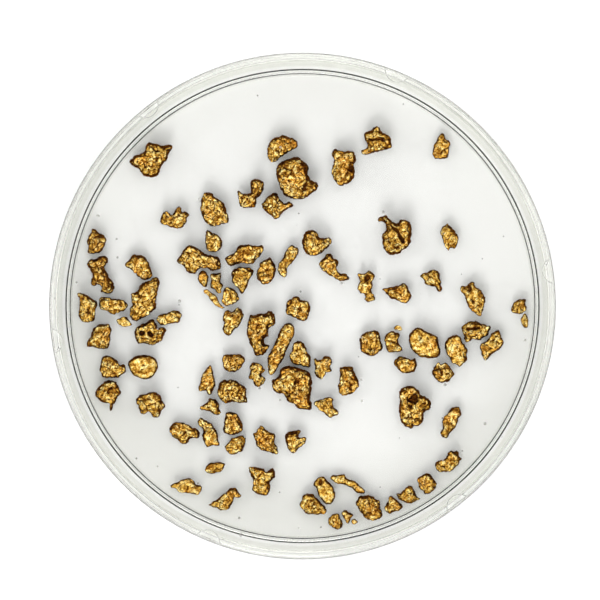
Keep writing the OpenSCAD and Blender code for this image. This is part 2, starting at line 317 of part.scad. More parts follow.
    [5.7, -10.4], [5.7, -11], [5.3, -11.6], [5.7, -12.1], [5.3, -12.6], [4.6, -12.9], [4.2, -13.5],
    [3.7, -14], [3, -13.9], [2.4, -13.4], [2.1, -12.6], [2.2, -11.8]]],
  // 45 slanted block
  [[[7, -12.2], [7.4, -11.5], [9.3, -11.5], [9.8, -12.1], [10.2, -13.1], [10.6, -14.1], [11, -14.9],
    [11, -15.5], [10.2, -16.1], [9.8, -16.7], [9, -17], [8.2, -17.3], [7.3, -17], [6.8, -16.2],
    [6.6, -15.2], [7.1, -14.5], [7.2, -13.3]]],
  // 46 large eared nugget with two hollows
  [[[18.3, -16.6], [18.7, -15.8], [19.5, -15.3], [20.5, -15.2], [21.4, -15.4], [22.2, -16.1],
    [22.7, -16.9], [23.5, -17.2], [24.3, -17.8], [24.6, -18.6], [24.3, -19.7], [23.6, -20.1],
    [23.2, -20.6], [23.1, -21.6], [22.7, -22.6], [22, -23], [21.3, -23.1], [20.7, -23.5], [20.2, -23.1],
    [19.5, -22.9], [18.8, -22.2], [18.5, -21.2], [18.3, -19], [18.5, -17.8]]],
  // 47 leaning upright nugget
  [[[26.3, -24.2], [26.6, -23.2], [26.5, -22.3], [26.8, -21.4], [27.4, -20.6], [27.8, -19.8],
    [28.5, -19.1], [29.3, -19], [29.9, -19.2], [30.1, -19.9], [30.3, -20.7], [29.9, -21.4],
    [29.7, -22.3], [29.3, -23.1], [28.6, -23.9], [28.1, -24.6], [27.6, -25.3], [27, -25.3],
    [26.5, -24.8]]],
  // 48 flat flake
  [[[-18.8, -31.4], [-18.5, -30.6], [-17.9, -30], [-17, -29.8], [-16.1, -29.6], [-15.2, -29.8],
    [-14.7, -30.2], [-14.9, -31], [-15.4, -31.7], [-16.4, -31.9], [-17.4, -32.2], [-18.3, -32]]],
  // 49 long dark flake
  [[[-25.4, -34.2], [-24.7, -33.8], [-23.8, -33.5], [-22.9, -33], [-22, -32.8], [-21.3, -32.8],
    [-20.6, -33.2], [-20, -33.9], [-19.3, -34.1], [-19, -34.7], [-19.3, -35.3], [-19.8, -35.9],
    [-22.1, -35.8], [-23.3, -35.7], [-24, -35.4], [-24.3, -34.9], [-25, -34.8]]],
  // 50 slanting bar with a notch
  [[[-18, -37.9], [-17.4, -37.4], [-16.7, -37], [-15.9, -36.4], [-15, -35.8], [-14.2, -35.1],
    [-13.5, -34.5], [-12.8, -34.5], [-12.2, -35], [-12.1, -35.6], [-11.6, -36.1], [-12, -36.7],
    [-13, -36.5], [-13.3, -37.5], [-13.8, -38.4], [-14.5, -38.9], [-15.5, -39.1], [-16.2, -38.7],
    [-17.7, -38.3]]],
  // 51 T-shaped nugget
  [[[-10.3, -30.9], [-9.8, -30.6], [-8, -30.8], [-7.3, -30.9], [-6.9, -31.5], [-6.3, -31.2],
    [-5.7, -30.9], [-5.2, -31.4], [-5.1, -32.2], [-5.5, -32.9], [-6.1, -33.6], [-6.2, -35.4],
    [-6.7, -36.1], [-7.6, -36.2], [-8.5, -35.9], [-9.2, -35.5], [-9.6, -34.8], [-9.5, -33.1],
    [-10, -32.3]]],
  // 52 squared nugget with a peak
  [[[-9.6, -24.2], [-8.8, -23.9], [-8.3, -22.8], [-7.6, -22.9], [-6.9, -23.5], [-6.1, -24],
    [-5.2, -24.5], [-5.1, -26.2], [-4.6, -26.9], [-4.5, -27.6], [-4.7, -28.2], [-5.7, -28.2],
    [-6.7, -27.9], [-7.6, -27.6], [-8.5, -27.2], [-9, -26.5], [-9.3, -25.4]]],
  // 53 small stepped nugget
  [[[-3.4, -25.2], [-3.2, -24.3], [-2.4, -23.9], [-1.5, -23.7], [-0.8, -23.5], [-0.2, -23.8],
    [-0.6, -24.5], [-0.7, -25.1], [0.7, -25.1], [0.6, -25.9], [0.2, -26.6], [-0.6, -27.4], [-1.3, -28],
    [-2.2, -28], [-2.9, -27.4], [-3.2, -26.4]]],
  // 54 pebble with a curved one behind it
  [[[-0.5, -37.8], [-0.2, -36.7], [0.4, -35.9], [1.3, -35.7], [2.1, -35.8], [2.6, -36.3], [3.2, -37],
    [3.8, -37.6], [4.4, -38.2], [4.6, -39], [4.2, -39.7], [3.2, -39.8], [2, -40], [0.9, -39.8],
    [0.1, -39.3], [-0.3, -38.6]],
   [[2, -34.2], [2.2, -33.4], [2.9, -32.8], [3.6, -32.4], [4.3, -32.6], [4.8, -33.3], [5.5, -33.9],
    [6.1, -34.8], [6.3, -35.9], [6.1, -37], [5.6, -37.7], [4.9, -37.9], [4.1, -37.5], [3.4, -36.7],
    [2.8, -35.8], [2.7, -34.9]]],
  // 55 curved tail and the large nugget in front
  [[[5.3, -32.8], [5.7, -32.2], [6.6, -32.2], [7.4, -32], [8.1, -32], [8.5, -32.8], [9.4, -33.2],
    [10.3, -33.6], [11.1, -34.1], [11.6, -34.7], [12.1, -35.3], [12, -35.8], [11.2, -35.9],
    [10.4, -35.7], [9.7, -35.2], [9, -34.7], [8.2, -34.2], [7.4, -34], [6.6, -34], [6, -33.7]],
   [[10, -37.6], [10.4, -36.8], [11, -36.2], [11.9, -36.1], [12.7, -36], [13.5, -36.4], [14.2, -36.9],
    [14.8, -37], [15, -37.9], [15.1, -38.9], [15.3, -39.7], [15, -40.4], [14.3, -40.8], [13.5, -41],
    [12.6, -41], [11.9, -40.5], [11.4, -39.8], [10.7, -39.1], [10.3, -38.4]]],
  // 56 three grains against the front wall
  [[[4.8, -41.1], [5, -40.3], [5.6, -39.7], [6.3, -39.4], [7, -39.6], [7.4, -40.4], [7.8, -41.2],
    [7.7, -42], [7.2, -42.6], [6.4, -42.7], [5.8, -42.4], [5, -41.8]],
   [[7.3, -39.5], [7.8, -38.9], [8.4, -38.9], [8.9, -39.3], [9.5, -39.5], [9.8, -40], [9.3, -40.5],
    [9.1, -41.1], [8.9, -41.6], [8.3, -41.6], [8, -41], [7.7, -40.3]],
   [[9.3, -40.9], [9.9, -40.6], [10.4, -40.9], [10.6, -41.2], [10.1, -41.6], [9.4, -41.5]]],
  // 57 two chips in a row
  [[[15.7, -38.5], [16, -37.6], [16.3, -36.6], [16.8, -36.1], [17.5, -36.3], [18, -37], [18.6, -37.5],
    [19.2, -37.9], [19.1, -38.6], [18.4, -39.1], [17.5, -39.4], [16.6, -39.7], [16, -39.3]],
   [[17.7, -35.7], [18.5, -35.7], [19.2, -35.1], [19.8, -34.3], [20.6, -34.2], [21.3, -34.7],
    [21.6, -35.3], [21.8, -36.1], [22.6, -36.8], [21.5, -37.4], [20.9, -37.8], [20, -37.8],
    [19.4, -37.5], [18.7, -37.1], [18.2, -36.7], [18, -36.2]]],
  // 58 pitted pair at the right front
  [[[21.8, -33.2], [22.1, -32.6], [22.8, -32.4], [23.4, -31.9], [24.2, -31.9], [24.9, -32.4],
    [25.3, -33.1], [25.7, -33.8], [25.5, -34.6], [24.9, -35.3], [24.1, -35.9], [23.3, -36],
    [22.9, -35.3], [22.2, -34.8], [22.1, -34]],
   [[25.1, -30.3], [25.5, -29.7], [26.2, -29.3], [27, -29.1], [27.4, -28.5], [27.7, -27.8],
    [28.3, -27.6], [28.9, -27.8], [29.5, -27.4], [30, -27.9], [29.9, -28.7], [30.5, -29], [29.8, -29.8],
    [29.5, -30.6], [29, -31.2], [28.2, -31.7], [26.3, -31.8], [25.6, -31.5], [25.3, -30.9]]],
];

function nugget_name(i) = str("nugget_", i < 9 ? "0" : "", i + 1);

function sum(v, i = 0) = i < len(v) - 1 ? v[i] + sum(v, i + 1) : v[i];
function centre(p) = sum(p) / len(p);

// Direction of an outline's long axis, from the second moments of its points
function long_axis(p) =
  let (c = centre(p), d = [for (q = p) q - c])
  atan2(2 * sum([for (q = d) q.x * q.y]), sum([for (q = d) q.x * q.x - q.y * q.y])) / 2;

// The outline about its own centre, with its long axis along X
function turned(p, c, a) =
  [for (q = p) let (d = q - c) [d.x * cos(a) + d.y * sin(a), d.y * cos(a) - d.x * sin(a)]];
function half_width(t) = (max([for (q = t) q.y]) - min([for (q = t) q.y])) / 2;
function half_length(t) = (max([for (q = t) q.x]) - min([for (q = t) q.x])) / 2;

// One ring of a nugget: the outline drawn in by the same distance along both of its axes
function ring(p, inset, z) =
  let (c = centre(p), a = long_axis(p), t = turned(p, c, a))
  let (kx = 1 - inset * half_width(t) / half_length(t), ky = 1 - inset)
  [for (q = t) let (x = q.x * kx, y = q.y * ky)
    [c.x + x * cos(a) - y * sin(a), c.y + x * sin(a) + y * cos(a), z]];

function nugget_height(p) =
  min(tallest, 2 * height_share * half_width(turned(p, centre(p), long_axis(p))));

// Twice the area of a triangle, positive when its corners run clockwise as an outline's do
function turn(a, b, c) = (b.y - a.y) * (c.x - a.x) - (b.x - a.x) * (c.y - a.y);

// Whether a corner of an outline sticks out and no other corner lies in its triangle
function is_ear(p, left, k) =
  let (n = len(left), a = p[left[(k + n - 1) % n]], b = p[left[k]], c = p[left[(k + 1) % n]])
  turn(a, b, c) > 0 &&
  len([for (i = left) let (q = p[i])
    if (q != a && q != b && q != c && turn(a, b, q) >= 0 && turn(b, c, q) >= 0 && turn(c, a, q) >= 0)
    i]) == 0;

// How blunt an ear is: its smallest height as a share of its longest side
function bluntness(p, left, k) =
  let (n = len(left), a = p[left[(k + n - 1) % n]], b = p[left[k]], c = p[left[(k + 1) % n]])
  turn(a, b, c) / pow(max(norm(b - a), norm(c - b), norm(a - c)), 2);

// An outline split into triangles inside it, by cutting off its bluntest ear again and again
function triangles(p, left) =
  let (n = len(left))
  n == 3 ? [left] :
  let (ears = [for (k = [0 : n - 1]) if (is_ear(p, left, k)) [bluntness(p, left, k), k]])
  let (best = max([for (e = ears) e[0]]), k = [for (e = ears) if (e[0] == best) e[1]][0])
  concat(
    [[left[(k + n - 1) % n], left[k], left[(k + 1) % n]]],
    triangles(p, [for (i = [0 : n - 1]) if (i != k) left[i]])
  );

module nugget(outline) {
  p = outline * layout_scale;
  n = len(p);
  h = nugget_height(p);
  top = len(ring_heights) - 1;
  points = [for (k = [0 : top]) each ring(p, ring_insets[k], floor_t + h * ring_heights[k])];
  // Each band between two rings is split into triangles
  sides = [for (k = [0 : top - 1], i = [0 : n - 1], half = [0, 1])
    let (j = (i + 1) % n, low = k * n, high = low + n)
    half == 0 ? [low + i, low + j, high + j] : [low + i, high + j, high + i]];
  underside = [for (t = triangles(p, [for (i = [0 : n - 1]) i])) [t[2], t[1], t[0]]];
  crown = [for (t = triangles(p, [for (i = [0 : n - 1]) i])) [for (i = t) top * n + i]];
  polyhedron(points = points, faces = concat(underside, sides, crown));
}

module nugget_node(i) {
  color("gold")
  for (outline = nuggets[i]) nugget(outline);
}

// What rounding a square corner at the origin takes away, or a fillet adds
module corner(r) {
  difference() {
    square(r);
    translate([r, r]) circle(r);
  }
}

// Clear moulding: a flat floor and an upright wall with a softened rim
module dish_base() {
  color("whitesmoke", 0.4)
  rotate_extrude() {
    difference() {
      square([base_r, base_h]);
      translate([-1, floor_t]) square([floor_r + 1, base_h]);
      translate([base_r, 0]) mirror([1, 0]) corner(foot_round);
      translate([base_r, base_h]) rotate(180) corner(rim_round);
      translate([floor_r, base_h]) mirror([0, 1]) corner(rim_round);
    }
    translate([floor_r, floor_t]) mirror([1, 0]) corner(floor_fillet);
  }
}

// Half-round pad at the lid's edge, which keeps a dish stacked on top from sliding off
module stacking_lug() {
  intersection() {
    translate([lid_r + lug_outset, 0, base_h + plate_t / 2]) cylinder(r = lug_r, h = plate_t / 2 + lug_h);
    cylinder(r = lid_r - lug_inset, h = lid_top + lug_h);
  }
}

// Clear moulding: a top plate that rests on the base's rim, a skirt round it and the lugs
module dish_lid() {
  color("white", 0.3) {
    rotate_extrude() {
      difference() {
        translate([0, skirt_lift]) square([lid_r, lid_top - skirt_lift]);
        translate([-1, skirt_lift - 1]) square([skirt_in_r + 1, base_h - skirt_lift + 1]);
        translate([lid_r, lid_top]) rotate(180) corner(lid_round);
        translate([lid_r, skirt_lift]) mirror([1, 0]) corner(rim_round);
        translate([skirt_in_r, skirt_lift]) corner(rim_round);
      }
      translate([skirt_in_r, base_h]) rotate(180) corner(plate_fillet);
    }
    for (k = [0 : lug_count - 1])
      rotate(lug_turn + k * 360 / lug_count) stacking_lug();
  }
}

dish_base();
dish_lid();
for (i = [0 : len(nuggets) - 1])
  nugget_node(i);
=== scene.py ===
import math

import bpy
import numpy as np
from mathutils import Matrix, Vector, noise
from mathutils.geometry import delaunay_2d_cdt


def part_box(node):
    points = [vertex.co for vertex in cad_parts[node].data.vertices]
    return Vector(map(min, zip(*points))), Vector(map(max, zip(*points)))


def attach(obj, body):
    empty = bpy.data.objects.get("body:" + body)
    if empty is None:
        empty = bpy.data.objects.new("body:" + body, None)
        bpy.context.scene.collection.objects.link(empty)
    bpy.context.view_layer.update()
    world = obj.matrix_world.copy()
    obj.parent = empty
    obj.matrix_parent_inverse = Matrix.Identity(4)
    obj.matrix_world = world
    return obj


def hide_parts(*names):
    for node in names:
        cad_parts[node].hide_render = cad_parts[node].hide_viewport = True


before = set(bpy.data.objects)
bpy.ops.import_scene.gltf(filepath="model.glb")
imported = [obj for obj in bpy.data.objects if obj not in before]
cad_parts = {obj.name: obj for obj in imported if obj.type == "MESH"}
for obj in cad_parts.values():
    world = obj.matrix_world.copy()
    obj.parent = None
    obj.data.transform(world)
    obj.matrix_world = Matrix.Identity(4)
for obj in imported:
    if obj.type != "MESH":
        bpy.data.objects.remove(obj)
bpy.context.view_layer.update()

MM = 0.001

# The roundings are set where they are used, and most are a little larger than the CAD's.
BASE_LOW, BASE_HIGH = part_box("dish_base")
LID_LOW, LID_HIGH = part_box("dish_lid")
BASE_R = (BASE_HIGH.x - BASE_LOW.x) / 2 / MM
BASE_H = BASE_HIGH.z / MM
LUG_H = 0.8
LID_R = 47.5
LID_TOP = LID_HIGH.z / MM - LUG_H
SKIRT_LOW = LID_LOW.z / MM
WALL = 1.0
FLOOR = 1.2
PLATE = 1.2
SKIRT = 1.1
LUGS = 6
LUG_R = 2.5
LUG_TURN = 8.0
# How far a lug's centre lies outside the lid's edge, and how far inside the edge the lug ends
LUG_OUTSET, LUG_INSET = 0.4, 0.3


# ---------------------------------------------------------------- mesh helpers
def new_object(name, points, faces, scale=MM):
    """A mesh object from points in millimetres."""
    mesh = bpy.data.meshes.new(name)
    mesh.from_pydata((np.asarray(points, float) * scale).tolist(), [], faces)
    mesh.update()
    piece = bpy.data.objects.new(name, mesh)
    bpy.context.scene.collection.objects.link(piece)
    return piece


def shade(piece, angle):
    """Smooth shading, with edges sharper than angle, in degrees, kept sharp."""
    piece.data.shade_smooth()
    piece.data.set_sharp_from_angle(angle=math.radians(angle))


def applied(piece):
    """Bakes the piece's modifiers into its mesh."""
    graph = bpy.context.evaluated_depsgraph_get()
    mesh = bpy.data.meshes.new_from_object(piece.evaluated_get(graph))
    piece.modifiers.clear()
    old = piece.data
    piece.data = mesh
    bpy.data.meshes.remove(old)


def arc(r, z, radius, start, end, steps=6):
    """Points of an arc about (r, z), from start to end degrees."""
    turn = np.radians(np.linspace(start, end, steps + 1))
    return [(r + radius * math.cos(t), z + radius * math.sin(t)) for t in turn]


def lathe(name, profile, segments=288):
    """A closed solid turned about Z from (radius, height) points that start and end on the axis."""
    turns = [2 * math.pi * k / segments for k in range(segments)]
    ring = profile[1:-1]
    points = [(0, 0, profile[0][1])]
    for r, z in ring:
        points += [(r * math.cos(t), r * math.sin(t), z) for t in turns]
    points.append((0, 0, profile[-1][1]))
    faces = []
    for k in range(segments):
        n = (k + 1) % segments
        faces.append((0, 1 + n, 1 + k))
        for row in range(len(ring) - 1):
            a, b = 1 + row * segments, 1 + (row + 1) * segments
            faces.append((a + k, a + n, b + n, b + k))
        last = 1 + (len(ring) - 1) * segments
        faces.append((last + k, last + n, len(points) - 1))
    return new_object(name, points, faces)


# ---------------------------------------------------------------- the two clear mouldings
def base_profile():
    """The base's outline from the middle of its underside to the middle of its floor."""
    inner, foot, rim, lip, fillet, near = BASE_R - WALL, 0.4, 0.42, 0.3, 0.25, 0.08
    p = [(0, 0), (BASE_R - foot - near, 0)]
    p += arc(BASE_R - foot, foot, foot, -90, 0)
    p += [(BASE_R, foot + near), (BASE_R, BASE_H - rim - near)]
    p += arc(BASE_R - rim, BASE_H - rim, rim, 0, 90)
    p += [(BASE_R - rim - near, BASE_H), (inner + lip + near, BASE_H)]
    p += arc(inner + lip, BASE_H - lip, lip, 90, 180)
    p += [(inner, BASE_H - lip - near), (inner, FLOOR + fillet + near)]
    p += arc(inner - fillet, FLOOR + fillet, fillet, 0, -90)
    return p + [(inner - fillet - near, FLOOR), (0, FLOOR)]


def lid_profile():
    """The lid's outline from the middle of its underside, down the skirt and back over the top."""
    inner, edge, lip, fillet, near = LID_R - SKIRT, 0.7, 0.3, 0.5, 0.15
    under = LID_TOP - PLATE
    p = [(0, under), (inner - fillet - near, under)]
    p += arc(inner - fillet, under - fillet, fillet, 90, 0)
    p += [(inner, under - fillet - near), (inner, SKIRT_LOW + lip + near)]
    p += arc(inner + lip, SKIRT_LOW + lip, lip, 180, 270)
    p += arc(LID_R - lip, SKIRT_LOW + lip, lip, 270, 360)
    p += [(LID_R, SKIRT_LOW + lip + near), (LID_R, LID_TOP - edge - near)]
    p += arc(LID_R - edge, LID_TOP - edge, edge, 0, 90, 8)
    return p + [(LID_R - edge - near, LID_TOP), (0, LID_TOP)]


def lug(turn):
    """One half-round stacking lug with a softened top edge, sunk a little into the plate."""
    round_, sink, steps = 0.22, 0.4, 28
    centre, limit = LID_R + LUG_OUTSET, LID_R - LUG_INSET
    half = math.acos((centre - limit) / LUG_R)
    angles = [math.pi - half + 2 * half * k / steps for k in range(steps + 1)]
    levels = [(-sink, 0.0)] + [(LUG_H - round_ + round_ * math.sin(a), round_ * (1 - math.cos(a)))
                               for a in np.radians([0, 22, 45, 67, 90])]
    points, faces = [], []
    for z, inset in levels:
        for a in angles:
            x = min(centre + (LUG_R - inset) * math.cos(a), limit - inset)
            y = (LUG_R - inset) * math.sin(a)
            points.append((x * math.cos(turn) - y * math.sin(turn), x * math.sin(turn) + y * math.cos(turn),
                           LID_TOP + z))
    n = len(angles)
    for row in range(len(levels) - 1):
        for k in range(n):
            a, b = row * n + k, row * n + (k + 1) % n
            faces.append((b, a, a + n, b + n))
    faces.append(tuple(range(n)))
    faces.append(tuple(range(len(points) - 1, len(points) - n - 1, -1)))
    return new_object("lug", points, faces)


def joined_lid():
    """The lid's moulding with its lugs made one with it."""
    lid = lathe("lid_shell", lid_profile())
    for k in range(LUGS):
        tool = lug(math.radians(LUG_TURN + k * 360 / LUGS))
        cut = lid.modifiers.new("lug", "BOOLEAN")
        cut.operation, cut.solver, cut.object = "UNION", "EXACT", tool
        applied(lid)
        bpy.data.objects.remove(tool)
    return lid


# ---------------------------------------------------------------- nuggets: outlines from the frame
def solids_of(node):
    """Each solid of a CAD node as welded points in millimetres and their neighbours."""
    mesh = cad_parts[node].data
    co = np.empty(len(mesh.vertices) * 3)
    mesh.vertices.foreach_get("co", co)
    points, index = np.unique(np.round(co.reshape(-1, 3) / MM, 3), axis=0, return_inverse=True)
    index = index.ravel()
    near = {k: set() for k in range(len(points))}
    for edge in mesh.edges:
        a, b = int(index[edge.vertices[0]]), int(index[edge.vertices[1]])
        if a != b:
            near[a].add(b)
            near[b].add(a)
    left, solids = set(near), []
    while left:
        todo, part = [min(left)], set()
        while todo:
            k = todo.pop()
            if k not in part:
                part.add(k)
                todo += sorted(near[k] - part)
        left -= part
        solids.append(sorted(part))
    return points, near, solids


def widest_ring(points, near, solid):
    """The solid's outline at its widest level, in order, and its lowest and highest levels."""
    levels = sorted({round(points[k][2], 2) for k in solid})
    level = [z for z in levels if z > levels[0] + 0.05][0]
    ring = {k for k in solid if abs(points[k][2] - level) < 0.02}
    start = min(ring)
    loop, last = [start], None
    while True:
        step = [k for k in sorted(near[loop[-1]] & ring) if k != last]
        if not step or (len(loop) > 2 and start in step) or step[0] == start:
            break
        last = loop[-1]
        loop.append(step[0])
    return points[loop][:, :2], levels[0], levels[-1]


def spline(loop, spacing):
    """A closed smooth curve through the loop's points, with about that spacing."""
    out = []
    n = len(loop)
    for k in range(n):
        a, b, c, d = loop[k - 1], loop[k], loop[(k + 1) % n], loop[(k + 2) % n]
        steps = max(2, round(float(np.linalg.norm(c - b)) / spacing))
        for s in range(steps):
            t = s / steps
            out.append(0.5 * (2 * b + (c - a) * t + (2 * a - 5 * b + 4 * c - d) * t * t
                              + (3 * b - a - 3 * c + d) * t ** 3))
    return np.array(out)


def edge_distance(points, loop):
    """How far each point is from the closed loop, positive inside it."""
    a, b = loop, np.roll(loop, -1, axis=0)
    d = b - a
    away = np.full(len(points), 1e9)
    inside = np.zeros(len(points), bool)
    for k in range(len(a)):
        v = points - a[k]
        t = np.clip(v @ d[k] / max(float(d[k] @ d[k]), 1e-12), 0, 1)
        away = np.minimum(away, np.hypot(*(v - t[:, None] * d[k]).T))
        crosses = (a[k, 1] > points[:, 1]) != (b[k, 1] > points[:, 1])
        with np.errstate(divide="ignore", invalid="ignore"):
            x = a[k, 0] + (points[:, 1] - a[k, 1]) / d[k, 1] * d[k, 0]
        inside ^= crosses & (points[:, 0] < x)
    return np.where(inside, away, -away)


def dome(away, reach):
    """A quarter round that rises from 0 at the edge to 1 at the given reach inside it."""
    return np.sqrt(np.maximum(0, 1 - (1 - np.minimum(away / reach, 1)) ** 2))


def pillow(loop, low, high, seed):
    """A closed rounded solid over an outline: steep sides, an uneven crown and a flat seat."""
    rim = spline(loop, 0.14)
    n = len(rim)
    inward = np.roll(rim, 1, axis=0) - np.roll(rim, -1, axis=0)
    area = 0.5 * float(np.sum(rim[:, 0] * np.roll(rim[:, 1], -1) - np.roll(rim[:, 0], -1) * rim[:, 1]))
    inward = np.stack([inward[:, 1], -inward[:, 0]], 1) * (1 if area < 0 else -1)
    inward /= np.maximum(np.linalg.norm(inward, axis=1), 1e-9)[:, None]
    extra = []
    for d in (0.04, 0.11, 0.22):
        row = rim - inward * d
        extra.append(row[edge_distance(row, rim) > 0.85 * d])
    step = 0.2
    low_xy, high_xy = rim.min(0), rim.max(0)
    xs = np.arange(low_xy[0], high_xy[0], step)
    ys = np.arange(low_xy[1], high_xy[1], step * 0.87)
    grid = np.array([(x + (j % 2) * step / 2, y) for j, y in enumerate(ys) for x in xs])
    extra.append(grid[edge_distance(grid, rim) > 0.3])
    flat = np.concatenate([rim] + extra)
    verts, _, faces, origin, _, _ = delaunay_2d_cdt([Vector(p) for p in flat], [], [list(range(n))], 1, 1e-5)
    xy = np.array([tuple(v) for v in verts])
    on_rim = np.array([any(o < n for o in source) for source in origin])
    d = np.where(on_rim, 0, np.maximum(edge_distance(xy, rim), 0))
    deep = max(float(d.max()), 0.3)
    seat_z = low + 0.34 * (high - low)
    side = dome(d, min(0.75 * deep, 0.8))
    crown = dome(d, deep)
    sway = np.array([noise.noise(Vector((x * 0.28, y * 0.28, seed * 3.7))) for x, y in xy])
    swell = np.array([noise.noise(Vector((x * 0.62, y * 0.62, seed * 2.9 + 40))) for x, y in xy])
    rise = (high - seat_z) * (0.66 * side + 0.34 * crown) * (0.88 + 0.3 * sway + 0.2 * swell)
    under = (seat_z - low) * dome(d, 0.5 * deep)
    top = np.column_stack([xy, seat_z + rise])
    bottom = np.column_stack([xy, np.maximum(seat_z - under, low)])
    lower = np.arange(len(xy))
    lower[~on_rim] = len(xy) + np.arange(int((~on_rim).sum()))
    points = np.concatenate([top, bottom[~on_rim]])
    solid = []
    for f in faces:
        p = xy[list(f)]
        turn = sum(p[i][0] * p[(i + 1) % len(p)][1] - p[(i + 1) % len(p)][0] * p[i][1] for i in range(len(p)))
        f = list(f) if turn > 0 else list(f)[::-1]
        solid.append(f)
        solid.append([int(lower[k]) for k in f[::-1]])
    return points, solid


# ---------------------------------------------------------------- nuggets: surface
# Voxel size of the nuggets' meshes in millimetres, and the share of smoothing rounds that it needs
FULL_VOXEL = 0.15
VOXEL = FULL_VOXEL
ROUNDS = (FULL_VOXEL / VOXEL) ** 2
# Hollows that show from above, in millimetres from the dish's centre: x, y, radius, depth
HOLLOWS = [
    (9.2, 26, 1.1, 0.6), (8.3, 25.1, 0.69, 0.3), (1.9, 22.9, 1, 0.36), (-30.3, -5.2, 0.57, 0.72),
    (-28.7, -5.3, 0.57, 0.72), (12.1, 5.1, 0.8, 0.54), (31.4, 3.4, 0.8, 0.48), (32, 0.8, 0.57, 0.48),
    (20.9, -17.5, 0.92, 0.72), (20.3, -19, 0.69, 0.54), (23, -18.3, 0.57, 0.48), (20.6, -22.5, 0.57, 0.36),
    (3.5, -33.1, 0.69, 0.48), (18, 11.1, 0.57, 0.48), (-6.8, -6.1, 0.8, 0.54), (-6.3, -3.9, 0.57, 0.36),
]
# Creases: from x, y to x, y, half-width, depth
CREASES = [
    (0.5, 27.1, 1.2, 24.4, 0.4, 0.45), (1.2, 24.4, 0.3, 21.9, 0.4, 0.39),
    (16.6, 15.1, 18, 14, 0.34, 0.59), (18, 14, 19, 12.1, 0.34, 0.59), (12.5, 31.2, 15.2, 31.6, 0.34, 0.52),
    (31, -4.4, 33.2, -4.2, 0.29, 0.52), (25.6, -11.1, 26.3, -12.9, 0.29, 0.39),
    (-14, 20.8, -14.4, 17.8, 0.23, 0.26), (16.2, -6.6, 17.6, -6.9, 0.23, 0.26),
]
# Nodes whose gold is browner than the rest, and how much
BROWNER = {"nugget_06": 0.22, "nugget_11": 0.16, "nugget_34": 0.2, "nugget_42": 0.14, "nugget_50": 0.12}
# Nuggets worn smooth, each a node and its place in that node, and how much relief is left
SMOOTHER = {("nugget_32", 1): 0.6, ("nugget_35", 1): 0.75, ("nugget_38", 0): 0.4, ("nugget_54", 1): 0.6}


def neighbours_mean(edges, count, values):
    """For each point, the mean of values over the points it shares an edge with."""
    total = np.zeros((count,) + values.shape[1:])
    np.add.at(total, edges[:, 0], values[edges[:, 1]])
    np.add.at(total, edges[:, 1], values[edges[:, 0]])
    degree = np.bincount(edges.ravel(), minlength=count)
    return total / np.maximum(degree, 1).reshape(-1, *[1] * (values.ndim - 1))


def mesh_arrays(mesh):
    """Point places, point normals and edges of a mesh."""
    count = len(mesh.vertices)
    co, normal = np.empty(count * 3), np.empty(count * 3)
    mesh.vertices.foreach_get("co", co)
    mesh.vertex_normals.foreach_get("vector", normal)
    edges = np.empty(len(mesh.edges) * 2, int)
    mesh.edges.foreach_get("vertices", edges)
    return co.reshape(-1, 3), normal.reshape(-1, 3), edges.reshape(-1, 2)


def smooth_step(x, low, high):
    """A soft step from 0 at low to 1 at high."""
    t = np.clip((x - low) / (high - low), 0, 1)
    return t * t * (3 - 2 * t)


def hollows(co):
    """How deep the hand-placed hollows and creases go at each point."""
    depth = np.zeros(len(co))
    sway = np.array([noise.noise(Vector((x, y, z)) * 1.1) for x, y, z in co])
    for x, y, r, d in HOLLOWS:
        away = np.hypot(co[:, 0] - x, co[:, 1] - y) + 0.6 * r * sway
        depth = np.maximum(depth, d * (1 - smooth_step(away, 0.1 * r, 1.35 * r)))
    for x0, y0, x1, y1, r, d in CREASES:
        a, v = np.array([x0, y0]), np.array([x1 - x0, y1 - y0])
        t = np.clip((co[:, :2] - a) @ v / (v @ v), 0, 1)
        away = np.linalg.norm(co[:, :2] - a - t[:, None] * v, axis=1) + 0.5 * r * sway
        depth = np.maximum(depth, d * (1 - smooth_step(away, 0.1 * r, 1.5 * r)))
    return depth


def broad_bend(co, normal, edges, rounds):
    """How far each point lies below its smoothed surroundings, in millimetres."""
    smooth = co
    for _ in range(rounds):
        smooth = smooth + 0.7 * (neighbours_mean(edges, len(co), smooth) - smooth)
    return np.einsum("ij,ij->i", smooth - co, normal)


